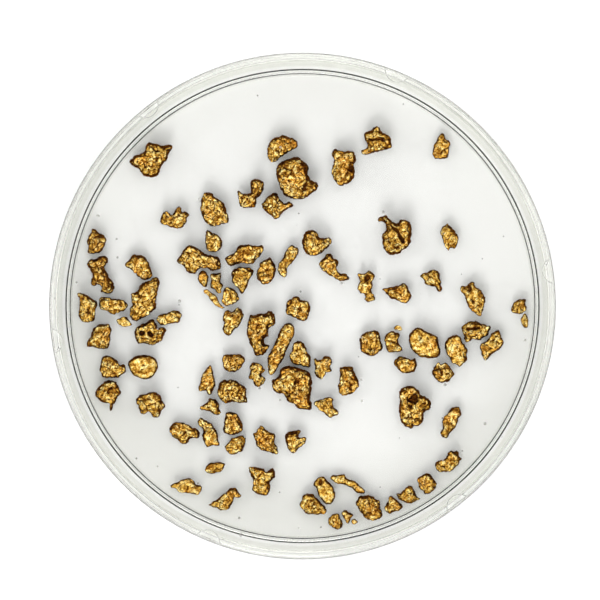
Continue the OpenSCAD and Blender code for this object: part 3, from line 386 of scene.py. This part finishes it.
def sculpt(mesh, low, high, seed, rugged):
    """Lumps, knobs, pits and grain on a remeshed nugget.

    It returns how dark brown each point is painted, from 0 to 1: grime and painted shade in the crevices and
    hollows, painted shade down the flanks.
    """
    co, normal, edges = mesh_arrays(mesh)
    count = len(co)
    for _ in range(3):
        co = co + 0.6 * (neighbours_mean(edges, count, co) - co)
    size = smooth_step(high - low, 0.8, 2.4)
    where = [Vector(p) + Vector((0, 0, seed * 5.3)) for p in co]
    lumps = np.array([noise.fractal(p * 0.62, 1.0, 2.0, 2) for p in where])
    warp = [p + 0.35 * noise.noise_vector(p * 1.3) for p in where]
    cells = np.array([noise.voronoi(p * 0.85)[0][:2] for p in warp])
    knobs = np.clip(cells[:, 1] - cells[:, 0], 0, 0.4) / 0.4
    small = np.array([noise.voronoi(p * 1.75)[0][:2] for p in warp])
    beads = np.clip(small[:, 1] - small[:, 0], 0, 0.4) / 0.4
    pocks = smooth_step(np.array([noise.noise(p * 1.15) for p in warp]), 0.18, 0.42)
    grain = np.array([noise.noise(p * 2.8) for p in where])
    relief = 0.34 * lumps - (0.12 + 0.16 * size) * (1 - knobs) ** 2 - 0.1 * (1 - beads) ** 2
    relief = relief + 0.07 * grain - (0.06 + 0.12 * size) * pocks
    level = (co[:, 2] - low) / (high - low)
    upward = smooth_step(normal[:, 2], -0.1, 0.6)
    relief = relief * (0.55 + 0.45 * upward) * rugged
    dug = hollows(co) * smooth_step(level, 0.25, 0.6)
    dug = np.minimum(dug, np.maximum(co[:, 2] - low - 0.35, 0))
    out = co + normal * relief[:, None]
    out[:, 2] -= dug
    out[:, 2] = np.maximum(out[:, 2], low)
    mesh.vertices.foreach_set("co", out.ravel())
    mesh.update()
    co, normal, edges = mesh_arrays(mesh)
    fine = broad_bend(co, normal, edges, 3)
    wide = broad_bend(co, normal, edges, round(10 * ROUNDS) + 4)
    cavity = smooth_step(fine, 0.004, 0.035)
    basin = smooth_step(wide, 0.02, 0.12)
    lean = normal
    for _ in range(round(4 * ROUNDS) + 1):
        lean = lean + 0.8 * (neighbours_mean(edges, count, lean) - lean)
    lean = lean / np.maximum(np.linalg.norm(lean, axis=1), 1e-6)[:, None]
    # Painted shade: the flanks are darkened, more on the sides that face +X and +Y, away from the front lamp.
    shady = 0.14 * (0.5 * lean[:, 0] + 0.85 * lean[:, 1])
    shaded_flank = 1 - smooth_step(lean[:, 2] - shady, 0.42, 0.93)
    pit = smooth_step(dug, 0.12, 0.5)
    # Dark brown: grime and painted shade in the crevices and hollows, painted shade down the flanks.
    return np.clip(np.maximum.reduce([0.72 * rugged * cavity, 0.9 * basin, 0.98 * shaded_flank, 0.95 * pit]), 0, 1)


def nugget(node, seed):
    """The detailed piece that stands for one nugget node."""
    points, near, solids = solids_of(node)
    pieces = []
    for s, solid in enumerate(solids):
        loop, low, high = widest_ring(points, near, solid)
        shape, faces = pillow(loop, low, high, seed + 0.37 * s)
        piece = new_object(node + "_form", shape, faces, 1.0)
        remesh = piece.modifiers.new("voxels", "REMESH")
        remesh.mode, remesh.voxel_size, remesh.adaptivity = "VOXEL", VOXEL, 0
        applied(piece)
        # The point layer holds grime and painted shade: dark brown in the crevices and hollows, and down the
        # flanks.
        dirt_and_shade = sculpt(piece.data, low, high, seed + 0.37 * s, SMOOTHER.get((node, s), 1.0))
        layer = piece.data.attributes.new("dirt_and_shade", "FLOAT", "POINT")
        layer.data.foreach_set("value", np.clip(dirt_and_shade + BROWNER.get(node, 0), 0, 1).astype(np.float32))
        pieces.append(piece)
    co = [np.array([v.co for v in p.data.vertices]) for p in pieces]
    starts = np.cumsum([0] + [len(c) for c in co])
    faces = [tuple(int(k) + int(start) for k in f.vertices)
             for p, start in zip(pieces, starts) for f in p.data.polygons]
    whole = new_object(node + "_gold", np.concatenate(co), faces)
    layer = whole.data.attributes.new("dirt_and_shade", "FLOAT", "POINT")
    values = np.concatenate([np.array([d.value for d in p.data.attributes["dirt_and_shade"].data]) for p in pieces])
    layer.data.foreach_set("value", values.astype(np.float32))
    for p in pieces:
        mesh = p.data
        bpy.data.objects.remove(p)
        bpy.data.meshes.remove(mesh)
    whole.data.shade_smooth()
    return whole


# ---------------------------------------------------------------- materials
def node_tree(name):
    """A new material and its emptied node tree."""
    material = bpy.data.materials.new(name)
    material.use_nodes = True
    tree = material.node_tree
    tree.nodes.clear()
    return material, tree


def add(tree, kind, **values):
    """A shader node with its properties and plain socket values set."""
    made = tree.nodes.new(kind)
    for key, value in values.items():
        if hasattr(made, key):
            setattr(made, key, value)
        else:
            made.inputs[key.replace("_", " ")].default_value = value
    return made


def wire(tree, source, out, target, into):
    """Links an output of one node to an input of another."""
    tree.links.new(source.outputs[out], target.inputs[into])


def ramp(tree, stops):
    """A colour ramp through (place, colour) stops."""
    made = tree.nodes.new("ShaderNodeValToRGB")
    while len(made.color_ramp.elements) < len(stops):
        made.color_ramp.elements.new(0.5)
    for element, (place, colour) in zip(made.color_ramp.elements, stops):
        element.position, element.color = place, (*colour, 1)
    return made


def remap(tree, source, out, start=(0.0, 1.0), end=(0.0, 1.0)):
    """A value rescaled from the range start to the range end, and clamped there."""
    made = add(tree, "ShaderNodeMapRange")
    wire(tree, source, out, made, "Value")
    made.inputs["From Min"].default_value, made.inputs["From Max"].default_value = start
    made.inputs["To Min"].default_value, made.inputs["To Max"].default_value = end
    return made


def axis_distance(tree, place):
    """How far a place is from the dish's axis."""
    flat = add(tree, "ShaderNodeVectorMath", operation="MULTIPLY")
    flat.inputs[1].default_value = (1, 1, 0)
    wire(tree, place, "Object", flat, 0)
    away = add(tree, "ShaderNodeVectorMath", operation="LENGTH")
    wire(tree, flat, 0, away, 0)
    return away


def gold_material():
    """Native gold: bright grained crowns, brown grime and painted shade in the hollows, and painted shade
    down the flanks.
    """
    material, t = node_tree("native_gold")
    place = add(t, "ShaderNodeTexCoord")
    mottle = add(t, "ShaderNodeTexNoise", Scale=1150.0, Detail=4.0, Roughness=0.66)
    fine = add(t, "ShaderNodeTexNoise", Scale=2700.0, Detail=3.0, Roughness=0.6)
    broad = add(t, "ShaderNodeTexNoise", Scale=300.0, Detail=2.0, Roughness=0.5)
    for texture in (mottle, fine, broad):
        wire(t, place, "Object", texture, "Vector")
    tone = ramp(t, [(0.32, (0.11, 0.036, 0.003)), (0.41, (0.40, 0.185, 0.022)), (0.505, (0.82, 0.50, 0.09)),
                    (0.62, (1.0, 0.86, 0.38))])
    wire(t, mottle, "Fac", tone, "Fac")
    amber = add(t, "ShaderNodeMix", data_type="RGBA", blend_type="MULTIPLY")
    amber.inputs["Factor"].default_value = 0.6
    warm = ramp(t, [(0.36, (1.0, 0.76, 0.55)), (0.50, (1.0, 1.0, 1.0))])
    wire(t, broad, "Fac", warm, "Fac")
    wire(t, tone, "Color", amber, 6)
    wire(t, warm, "Color", amber, 7)
    grains = ramp(t, [(0.37, (0.42, 0.27, 0.13)), (0.47, (1.0, 1.0, 1.0))])
    wire(t, fine, "Fac", grains, "Fac")
    grained = add(t, "ShaderNodeMix", data_type="RGBA", blend_type="MULTIPLY")
    grained.inputs["Factor"].default_value = 1.0
    wire(t, amber, 2, grained, 6)
    wire(t, grains, "Color", grained, 7)
    # The sculpt's point layer: grime and painted shade in the hollows, painted shade down the flanks.
    dirt_and_shade = add(t, "ShaderNodeAttribute", attribute_name="dirt_and_shade", attribute_type="GEOMETRY")
    ragged = add(t, "ShaderNodeMath", operation="MULTIPLY_ADD")
    wire(t, fine, "Fac", ragged, 0)
    ragged.inputs[1].default_value = 0.9
    ragged.inputs[2].default_value = -0.45
    soiled_and_shaded = add(t, "ShaderNodeMath", operation="ADD", use_clamp=True)
    wire(t, dirt_and_shade, "Fac", soiled_and_shaded, 0)
    wire(t, ragged, 0, soiled_and_shaded, 1)
    shade_in = ramp(t, [(0.22, (0, 0, 0)), (0.62, (1, 1, 1))])
    wire(t, soiled_and_shaded, 0, shade_in, "Fac")
    # Mix towards dark brown: grime and painted shade.
    brown = add(t, "ShaderNodeMix", data_type="RGBA")
    wire(t, shade_in, "Color", brown, 0)
    wire(t, grained, 2, brown, 6)
    brown.inputs[7].default_value = (0.085, 0.026, 0.002, 1)
    shader = add(t, "ShaderNodeBsdfPrincipled", Metallic=1.0)
    shader.inputs["Specular Tint"].default_value = (0.75, 0.5, 0.2, 1)
    wire(t, brown, 2, shader, "Base Color")
    rough = remap(t, fine, "Fac", end=(0.2, 0.48))
    wire(t, rough, "Result", shader, "Roughness")
    bump = add(t, "ShaderNodeBump", Strength=0.8, Distance=0.00014)
    wire(t, fine, "Fac", bump, "Height")
    wire(t, bump, "Normal", shader, "Normal")
    out = add(t, "ShaderNodeOutputMaterial")
    wire(t, shader, "BSDF", out, "Surface")
    return material


def radial_tone(t, place, radius, middle, edge):
    """One colour over the flat middle and another outside a radius in millimetres, over the upright wall."""
    blend = 0.3
    outside = remap(t, axis_distance(t, place), "Value", ((radius - blend) * MM, radius * MM))
    mix = add(t, "ShaderNodeMix", data_type="RGBA")
    wire(t, outside, "Result", mix, 0)
    mix.inputs[6].default_value = (*middle, 1)
    mix.inputs[7].default_value = (*edge, 1)
    return mix


# The two rounded edges of the base's rim, in millimetres: how far below the top they reach, the middle of the
# flat between them, and how far from it the mirror finish and the painted shade of the dark lines set in
RIM_DEPTH = 0.45
RIM_MIDDLE = BASE_R - 0.55 * WALL
MIRROR_BAND = (0.12, 0.22)
DARK_BAND = (0.21, 0.28)
MIRROR_SHARE = 0.85
# Painted shade: the colour of the dark lines on the rim's rounded edges.
RIM_PAINTED_SHADE = (0.05, 0.05, 0.045)


def rim_edges(t, place, colour):
    """How mirror-like a place on the base is, and its colour.

    Both change only on the two rounded edges of the rim, which are painted dark furthest out: painted shade
    for the dark lines that refraction makes there.
    """
    split = add(t, "ShaderNodeSeparateXYZ")
    wire(t, place, "Object", split, "Vector")
    high = add(t, "ShaderNodeMath", operation="GREATER_THAN")
    wire(t, split, "Z", high, 0)
    high.inputs[1].default_value = (BASE_H - RIM_DEPTH) * MM
    middle = add(t, "ShaderNodeMath", operation="SUBTRACT")
    wire(t, axis_distance(t, place), "Value", middle, 0)
    middle.inputs[1].default_value = RIM_MIDDLE * MM
    aside = add(t, "ShaderNodeMath", operation="ABSOLUTE")
    wire(t, middle, 0, aside, 0)
    masks = []
    for (near, far), share in ((MIRROR_BAND, MIRROR_SHARE), (DARK_BAND, 1.0)):
        mask = add(t, "ShaderNodeMath", operation="MULTIPLY")
        wire(t, high, 0, mask, 0)
        wire(t, remap(t, aside, 0, (near * MM, far * MM), (0.0, share)), "Result", mask, 1)
        masks.append(mask)
    mirror, dark = masks
    # Painted shade: the outer part of each rounded edge is mixed towards the dark-line colour.
    mix = add(t, "ShaderNodeMix", data_type="RGBA")
    wire(t, dark, 0, mix, 0)
    wire(t, colour, 2, mix, 6)
    mix.inputs[7].default_value = (*RIM_PAINTED_SHADE, 1)
    return mirror, mix


def specks(t, place):
    """A mask of sparse dust specks."""
    cells = add(t, "ShaderNodeTexVoronoi", Scale=260.0)
    wire(t, place, "Object", cells, "Vector")
    size = add(t, "ShaderNodeSeparateColor")
    wire(t, cells, "Color", size, "Color")
    reach = remap(t, size, 0, (0.62, 1.0), (0.0, 0.085))
    near = add(t, "ShaderNodeMath", operation="LESS_THAN")
    wire(t, cells, "Distance", near, 0)
    wire(t, reach, "Result", near, 1)
    return near


def clear_material(name, edge, tint, edge_tint_and_shade, has_rim):
    """Clear plastic with dust and fine haze, which lets the lamps through to what it holds."""
    material, t = node_tree(name)
    place = add(t, "ShaderNodeTexCoord")
    haze = add(t, "ShaderNodeTexNoise", Scale=60.0, Detail=4.0)
    wire(t, place, "Object", haze, "Vector")
    rough = remap(t, haze, "Fac", end=(0.0, 0.03))
    shader = add(t, "ShaderNodeBsdfPrincipled", IOR=1.5)
    # Outside the radius the colour turns greyer. On the lid this is painted shade for the shaded floor seen
    # through it.
    colour = radial_tone(t, place, edge, tint, edge_tint_and_shade)
    if has_rim:
        mirror, colour = rim_edges(t, place, colour)
        wire(t, mirror, 0, shader, "Metallic")
    wire(t, colour, 2, shader, "Base Color")
    shader.inputs["Transmission Weight"].default_value = 1.0
    wire(t, rough, "Result", shader, "Roughness")
    dust = add(t, "ShaderNodeBsdfDiffuse")
    dust.inputs["Color"].default_value = (0.36, 0.35, 0.33, 1)
    dusty = add(t, "ShaderNodeMixShader")
    faint = add(t, "ShaderNodeMath", operation="MULTIPLY")
    wire(t, specks(t, place), 0, faint, 0)
    faint.inputs[1].default_value = 0.5
    wire(t, faint, 0, dusty, 0)
    wire(t, shader, "BSDF", dusty, 1)
    wire(t, dust, "BSDF", dusty, 2)
    window = add(t, "ShaderNodeBsdfTransparent")
    wire(t, radial_tone(t, place, edge, (0.998, 0.998, 0.99), (0.9, 0.9, 0.88)), 2, window, "Color")
    path = add(t, "ShaderNodeLightPath")
    mix = add(t, "ShaderNodeMixShader")
    wire(t, path, "Is Shadow Ray", mix, 0)
    wire(t, dusty, "Shader", mix, 1)
    wire(t, window, "BSDF", mix, 2)
    out = add(t, "ShaderNodeOutputMaterial")
    wire(t, mix, "Shader", out, "Surface")
    return material


def paper_material():
    """A plain white floor with the faintest grain."""
    material, t = node_tree("white_floor")
    place = add(t, "ShaderNodeTexCoord")
    grain = add(t, "ShaderNodeTexNoise", Scale=900.0, Detail=2.0)
    wire(t, place, "Object", grain, "Vector")
    tone = ramp(t, [(0.3, (0.90, 0.90, 0.90)), (0.7, (0.92, 0.92, 0.92))])
    wire(t, grain, "Fac", tone, "Fac")
    shader = add(t, "ShaderNodeBsdfPrincipled", Roughness=0.9)
    shader.inputs["Specular IOR Level"].default_value = 0.0
    wire(t, tone, "Color", shader, "Base Color")
    out = add(t, "ShaderNodeOutputMaterial")
    wire(t, shader, "BSDF", out, "Surface")
    return material


# ---------------------------------------------------------------- the object
def make_dish():
    """The base and the lid, each one clear moulding that stands for its CAD node."""
    base = lathe("dish_base_clear", base_profile())
    shade(base, 35)
    wall_from = BASE_R - WALL
    tints_and_shade = (1.0, 1.0, 0.995), (0.95, 0.955, 0.93)
    base.data.materials.append(clear_material("clear_base", wall_from, *tints_and_shade, True))
    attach(base, "base")
    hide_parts("dish_base")
    lid = joined_lid()
    lid.name = "dish_lid_clear"
    shade(lid, 35)
    lid.data.materials.clear()
    skirt_from = BASE_R + 0.7
    # Greyer over the gap beyond the base's wall and on the skirt: painted shade for the floor that the walls
    # shade there.
    tints_and_shade = (1.0, 1.0, 0.995), (0.885, 0.89, 0.85)
    lid.data.materials.append(clear_material("clear_lid", skirt_from, *tints_and_shade, False))
    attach(lid, "lid")
    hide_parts("dish_lid")


def make_nuggets():
    """One piece for each nugget node, on that node's own body."""
    gold = gold_material()
    names = sorted(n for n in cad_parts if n.startswith("nugget_"))
    for seed, name in enumerate(names):
        piece = nugget(name, seed + 1)
        piece.data.materials.append(gold)
        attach(piece, name)
        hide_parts(name)


# ---------------------------------------------------------------- stage
# Lamps: name, bearing from +X towards +Y and elevation in degrees, size in metres, power in watts.
# All hang at one distance from the dish's centre, in metres.
LAMPS = [
    ("lamp_front", -100, 46, 0.32, 1.2),
    ("lamp_left", 170, 35, 0.30, 0.3),
    ("lamp_right", 10, 35, 0.30, 0.2),
]
LAMP_DISTANCE = 0.7
# Half the floor's side, and how far it lies below the dish, in millimetres
FLOOR_HALF, FLOOR_GAP = 900, 0.2
# The sky's brightness, its turn in degrees and its darkest colour
SKY_STRENGTH = 1.7
SKY_TURN = -6
SKY_DARK = (0.04, 0.04, 0.04)
# The camera's place in metres and its lens in millimetres
CAMERA_PLACE = (-0.00047, 0.00113, 2.4)
CAMERA_LENS = 763


def panel(name, bearing, elevation, size, power):
    """A square soft lamp that looks at the dish."""
    lamp = bpy.data.lights.new(name, "AREA")
    lamp.shape, lamp.size, lamp.energy = "SQUARE", size, power
    holder = bpy.data.objects.new(name, lamp)
    bpy.context.scene.collection.objects.link(holder)
    a, e = math.radians(bearing), math.radians(elevation)
    way = Vector((math.cos(e) * math.cos(a), math.cos(e) * math.sin(a), math.sin(e)))
    holder.location = way * LAMP_DISTANCE
    holder.rotation_euler = way.to_track_quat("Z", "Y").to_euler()


def make_stage():
    """The floor, the lamps and the sky."""
    corners = [(x * FLOOR_HALF, y * FLOOR_HALF, -FLOOR_GAP) for x, y in ((-1, -1), (1, -1), (1, 1), (-1, 1))]
    floor = new_object("floor", corners, [(0, 1, 2, 3)])
    floor.data.materials.append(paper_material())
    for lamp in LAMPS:
        panel(*lamp)
    bpy.context.scene.world = studio_world()
    bpy.context.scene.view_settings.view_transform = "Standard"


def studio_world():
    """Soft light from overhead and from four sides, with dark corners and a dark spot at the top.

    The camera sees a plain pale grey in its place.
    """
    world = bpy.data.worlds.new("studio")
    world.use_nodes = True
    t = world.node_tree
    t.nodes.clear()
    place = add(t, "ShaderNodeTexCoord")
    turn = add(t, "ShaderNodeVectorRotate", rotation_type="Z_AXIS")
    turn.inputs["Angle"].default_value = math.radians(SKY_TURN)
    wire(t, place, "Generated", turn, "Vector")
    split = add(t, "ShaderNodeSeparateXYZ")
    wire(t, turn, 0, split, "Vector")
    overhead = ramp(t, [(0.52, SKY_DARK), (0.86, (0.98, 0.99, 1.0)), (0.985, (1, 1, 1)),
                        (0.993, (0.01, 0.01, 0.01))])
    wire(t, split, "Z", overhead, "Fac")
    squares = []
    for axis in ("X", "Y"):
        square = add(t, "ShaderNodeMath", operation="POWER")
        square.inputs[1].default_value = 2
        wire(t, split, axis, square, 0)
        squares.append(square)
    across = add(t, "ShaderNodeMath", operation="SUBTRACT")
    along = add(t, "ShaderNodeMath", operation="ADD")
    for node in (across, along):
        wire(t, squares[0], 0, node, 0)
        wire(t, squares[1], 0, node, 1)
    ratio = add(t, "ShaderNodeMath", operation="DIVIDE")
    wire(t, across, 0, ratio, 0)
    wire(t, along, 0, ratio, 1)
    axial = add(t, "ShaderNodeMath", operation="ABSOLUTE")
    wire(t, ratio, 0, axial, 0)
    sides = ramp(t, [(0.55, SKY_DARK), (0.85, (1, 1, 1))])
    wire(t, axial, 0, sides, "Fac")
    low = ramp(t, [(0.5, (1, 1, 1)), (0.7, (0, 0, 0))])
    wire(t, split, "Z", low, "Fac")
    walls = add(t, "ShaderNodeMix", data_type="RGBA", blend_type="MULTIPLY")
    walls.inputs[0].default_value = 1.0
    wire(t, sides, "Color", walls, 6)
    wire(t, low, "Color", walls, 7)
    whole = add(t, "ShaderNodeMix", data_type="RGBA", blend_type="LIGHTEN")
    whole.inputs[0].default_value = 1.0
    wire(t, overhead, "Color", whole, 6)
    wire(t, walls, 2, whole, 7)
    light = add(t, "ShaderNodeBackground", Strength=SKY_STRENGTH)
    wire(t, whole, 2, light, "Color")
    plain = add(t, "ShaderNodeBackground", Strength=1.0)
    plain.inputs["Color"].default_value = (0.88, 0.89, 0.9, 1)
    path = add(t, "ShaderNodeLightPath")
    mix = add(t, "ShaderNodeMixShader")
    wire(t, path, "Is Camera Ray", mix, 0)
    wire(t, light, "Background", mix, 1)
    wire(t, plain, "Background", mix, 2)
    out = add(t, "ShaderNodeOutputWorld")
    wire(t, mix, "Shader", out, "Surface")
    return world


def make_camera():
    """Straight down from above, far enough away that the rims nearly hide the walls."""
    lens = bpy.data.cameras.new("camera")
    lens.sensor_width = 36
    lens.lens = CAMERA_LENS
    lens.clip_start, lens.clip_end = 0.01, 20
    camera = bpy.data.objects.new("camera", lens)
    camera.location = CAMERA_PLACE
    bpy.context.scene.collection.objects.link(camera)
    bpy.context.scene.camera = camera


make_camera()
make_stage()
make_dish()
make_nuggets()
